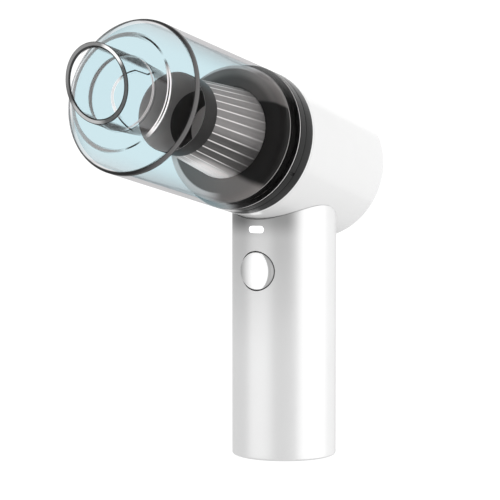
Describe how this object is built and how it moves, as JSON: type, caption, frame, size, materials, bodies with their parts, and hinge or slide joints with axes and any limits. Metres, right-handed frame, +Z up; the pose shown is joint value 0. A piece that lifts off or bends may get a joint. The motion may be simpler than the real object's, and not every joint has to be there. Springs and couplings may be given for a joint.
{
  "type": "handheld car vacuum cleaner",
  "caption": "Cordless handheld car vacuum: upright round handle with a button, tilted cylindrical head, clear dust cup with a slanted nozzle, pleated cone filter, fan motor and battery.",
  "frame": {"origin": "centre of the handle's flat bottom face", "axes": "+Z up along the handle; the head and its nozzle point towards -Y, tilted up 12 degrees; +X to the side, the object mirrors about X = 0"},
  "size_m": [0.0655, 0.1842, 0.1953],
  "materials": {
    "clear_cup": "clear, faintly blue-green, polished",
    "cap_dark": "satin dark grey",
    "paper": "pleated grey filter paper",
    "core_grey": "dark grey moulding",
    "base_gloss": "polished near-black",
    "seal_rubber": "black rubber",
    "collar_gloss": "polished dark grey",
    "screw_steel": "zinc-plated steel",
    "grille_dark": "matt dark grey",
    "housing_white": "gloss white",
    "handle_silver": "satin pearl silver-white",
    "motor_steel": "plated steel can",
    "magnet_black": "sintered magnet",
    "bronze": "sintered bronze",
    "core_copper": "lacquered copper windings on a steel core",
    "shaft_steel": "ground steel",
    "carbon": "carbon",
    "mount_rubber": "black rubber",
    "frame_black": "matt black moulding",
    "cell_wrap": "blue shrink wrap",
    "nickel": "nickel strip",
    "board_green": "green solder mask",
    "port_steel": "plated steel shell",
    "switch_black": "black moulding",
    "button_white": "gloss white",
    "light_white": "milky light guide",
    "wire_skin": "wire insulation"
  },
  "bodies": {
    "housing": {"front_collar": "collar_gloss", "collar_screws": "screw_steel", "intake_grille": "grille_dark", "motor_housing": "housing_white", "rear_cover": "housing_white", "rear_cover_screws": "screw_steel", "fan_shroud": "grille_dark", "motor_plate": "grille_dark", "motor_can": "motor_steel", "motor_magnets": "magnet_black", "motor_end_bell": "frame_black", "front_bushing": "bronze", "rear_bushing": "bronze", "motor_brushes": "carbon", "rear_motor_mount": "mount_rubber", "handle_shell": "handle_silver", "handle_frame": "frame_black", "neck_screws": "screw_steel", "base_cap": "handle_silver", "base_screws": "screw_steel", "battery_left": "cell_wrap", "battery_right": "cell_wrap", "battery_tabs": "nickel", "control_board": "board_green", "charging_port": "port_steel", "switch_board": "board_green", "power_switch": "switch_black", "light_chip": "light_white", "light_lens": "light_white", "motor_leads": "wire_skin"},
    "cup": {"dust_cup": "clear_cup", "inlet_tube": "clear_cup"},
    "filter": {"filter_cap": "cap_dark", "pleated_filter": "paper", "filter_core": "core_grey", "filter_base": "base_gloss", "filter_seal": "seal_rubber"},
    "rotor": {"impeller": "cap_dark", "motor_shaft": "shaft_steel", "armature": "core_copper", "commutator": "core_copper"},
    "button": {"power_button": "button_white"}
  },
  "joints": [
    {"name": "cup_slide", "type": "slide", "parent": "housing", "child": "cup", "axis": [0, -0.9781, 0.2079], "range_m": [0, 0.055]},
    {"name": "filter_slide", "type": "slide", "parent": "housing", "child": "filter", "axis": [0, -0.9781, 0.2079], "range_m": [0, 0.01]},
    {"name": "rotor_spin", "type": "hinge", "parent": "housing", "child": "rotor", "pos_m": [0, 0, 0.1385], "axis": [0, -0.9781, 0.2079], "continuous": true},
    {"name": "button_press", "type": "slide", "parent": "housing", "child": "button", "axis": [0, 1, 0], "range_m": [0, 0.0015], "stiffness_N_per_m": 1200}
  ]
}
